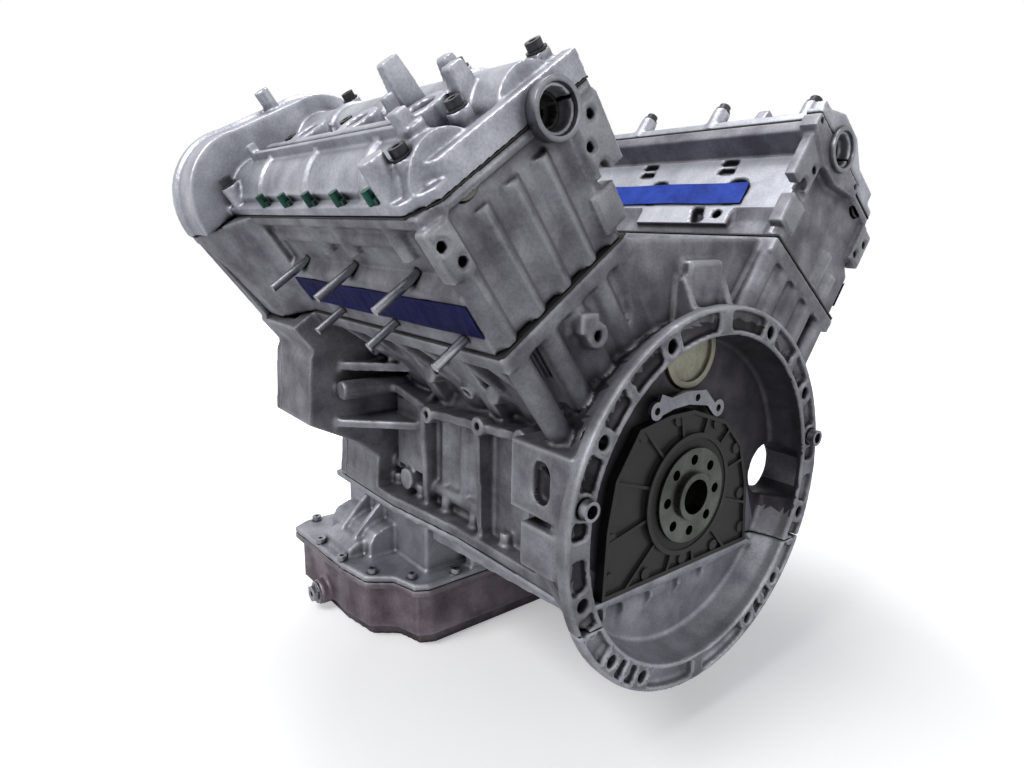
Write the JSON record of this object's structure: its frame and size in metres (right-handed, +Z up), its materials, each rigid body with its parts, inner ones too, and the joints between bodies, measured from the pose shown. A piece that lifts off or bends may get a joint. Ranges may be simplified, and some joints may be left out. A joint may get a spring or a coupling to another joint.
{
  "type": "diesel engine",
  "caption": "Bare V-form diesel engine: ribbed aluminium block with gearbox bell, two heads with cam covers and gaskets, oil pans, and crank, cams, balance shaft and pistons that move.",
  "frame": {"origin": "centre of the crankshaft flange's rear face, where the flywheel seats", "axes": "+Y along the crankshaft towards the front of the engine, +Z up, +X towards the right-hand bank as seen from the gearbox end"},
  "size_m": [0.6788, 0.5195, 0.629],
  "materials": {
    "cast_aluminium": "sand-blasted cast aluminium",
    "cover_aluminium": "light sand-blasted casting",
    "pan_aluminium": "stained casting",
    "iron": "honed iron",
    "machined_steel": "machined steel with an oil film",
    "plated_steel": "zinc-plated steel",
    "black_steel": "blackened steel",
    "plug_paint": "cream painted pressed steel",
    "black_moulding": "satin black moulding",
    "seal_rubber": "rubber lip seal",
    "gasket": "coated sheet gasket",
    "navy_tape": "navy adhesive tape",
    "blue_tape": "bright blue adhesive tape",
    "clip_green": "green-tinted spring clip",
    "guide_plastic": "brown low-friction moulding",
    "chain_steel": "oiled steel"
  },
  "bodies": {
    "engine": {"cylinder_block": "cast_aluminium", "cylinder_liners": "iron", "main_bearing_caps": "iron", "cap_bolts": "black_steel", "rear_seal_cover": "black_moulding", "rear_crank_seal": "seal_rubber", "core_plug": "plug_paint", "plug_bracket": "plated_steel", "dowel_sleeves": "plated_steel", "head_gasket_left": "gasket", "head_gasket_right": "gasket", "cylinder_head_left": "cast_aluminium", "cylinder_head_right": "cast_aluminium", "cover_gasket_left": "gasket", "cover_gasket_right": "gasket", "cam_cover_left": "cover_aluminium", "cam_cover_right": "cover_aluminium", "timing_cover": "cast_aluminium", "front_crank_seal": "seal_rubber", "upper_oil_pan": "cast_aluminium", "lower_oil_pan": "pan_aluminium", "drain_plug": "plated_steel", "oil_pump": "cast_aluminium", "oil_pickup": "plated_steel", "intake_valves": "machined_steel", "exhaust_valves": "machined_steel", "valve_springs": "machined_steel", "head_bolts": "black_steel", "exhaust_studs": "plated_steel", "cover_screws": "black_steel", "cover_clips": "clip_green", "exhaust_port_tapes": "navy_tape", "intake_port_tapes": "blue_tape", "pan_screws": "plated_steel", "chain_guide_left": "guide_plastic", "chain_guide_right": "guide_plastic", "chain_tensioner": "cast_aluminium", "timing_chain": "chain_steel"},
    "crank": {"crankshaft": "machined_steel", "crank_sprocket": "machined_steel"},
    "exhaust_cam_left": {"exhaust_camshaft_left": "machined_steel", "cam_sprocket_left": "machined_steel"},
    "intake_cam_left": {"intake_camshaft_left": "machined_steel"},
    "exhaust_cam_right": {"exhaust_camshaft_right": "machined_steel", "cam_sprocket_right": "machined_steel"},
    "intake_cam_right": {"intake_camshaft_right": "machined_steel"},
    "balancer": {"balance_shaft": "machined_steel", "balance_sprocket": "machined_steel"},
    "piston_left_1": {"piston_left_1": "cast_aluminium", "piston_pin_left_1": "plated_steel"},
    "piston_left_2": {"piston_left_2": "cast_aluminium", "piston_pin_left_2": "plated_steel"},
    "piston_left_3": {"piston_left_3": "cast_aluminium", "piston_pin_left_3": "plated_steel"},
    "piston_right_1": {"piston_right_1": "cast_aluminium", "piston_pin_right_1": "plated_steel"},
    "piston_right_2": {"piston_right_2": "cast_aluminium", "piston_pin_right_2": "plated_steel"},
    "piston_right_3": {"piston_right_3": "cast_aluminium", "piston_pin_right_3": "plated_steel"}
  },
  "joints": [
    {"name": "crank_spin", "type": "hinge", "parent": "engine", "child": "crank", "pos_m": [0, 0, 0], "axis": [0, 1, 0], "continuous": true},
    {"name": "exhaust_cam_left_spin", "type": "hinge", "parent": "engine", "child": "exhaust_cam_left", "pos_m": [-0.2566, 0, 0.27833], "axis": [0, 1, 0], "continuous": true},
    {"name": "intake_cam_left_spin", "type": "hinge", "parent": "engine", "child": "intake_cam_left", "pos_m": [-0.18541, 0, 0.33005], "axis": [0, 1, 0], "continuous": true},
    {"name": "exhaust_cam_right_spin", "type": "hinge", "parent": "engine", "child": "exhaust_cam_right", "pos_m": [0.2566, 0, 0.27833], "axis": [0, 1, 0], "continuous": true},
    {"name": "intake_cam_right_spin", "type": "hinge", "parent": "engine", "child": "intake_cam_right", "pos_m": [0.18541, 0, 0.33005], "axis": [0, 1, 0], "continuous": true},
    {"name": "balancer_spin", "type": "hinge", "parent": "engine", "child": "balancer", "pos_m": [0, 0, 0.139], "axis": [0, 1, 0], "continuous": true},
    {"name": "piston_left_1_stroke", "type": "slide", "parent": "engine", "child": "piston_left_1", "axis": [-0.5878, 0, 0.809], "range_m": [-0.09071, 0.00128]},
    {"name": "piston_left_2_stroke", "type": "slide", "parent": "engine", "child": "piston_left_2", "axis": [-0.5878, 0, 0.809], "range_m": [-0.01159, 0.0804]},
    {"name": "piston_left_3_stroke", "type": "slide", "parent": "engine", "child": "piston_left_3", "axis": [-0.5878, 0, 0.809], "range_m": [-0.0258, 0.06619]},
    {"name": "piston_right_1_stroke", "type": "slide", "parent": "engine", "child": "piston_right_1", "axis": [0.5878, 0, 0.809], "range_m": [-0.09071, 0.00128]},
    {"name": "piston_right_2_stroke", "type": "slide", "parent": "engine", "child": "piston_right_2", "axis": [0.5878, 0, 0.809], "range_m": [-0.0258, 0.06619]},
    {"name": "piston_right_3_stroke", "type": "slide", "parent": "engine", "child": "piston_right_3", "axis": [0.5878, 0, 0.809], "range_m": [-0.01159, 0.0804]}
  ],
  "couplings": [
    {"joint": "exhaust_cam_left_spin", "follows": "crank_spin", "ratio": 0.5},
    {"joint": "intake_cam_left_spin", "follows": "crank_spin", "ratio": -0.5},
    {"joint": "exhaust_cam_right_spin", "follows": "crank_spin", "ratio": 0.5},
    {"joint": "intake_cam_right_spin", "follows": "crank_spin", "ratio": -0.5},
    {"joint": "balancer_spin", "follows": "crank_spin", "ratio": -1}
  ]
}
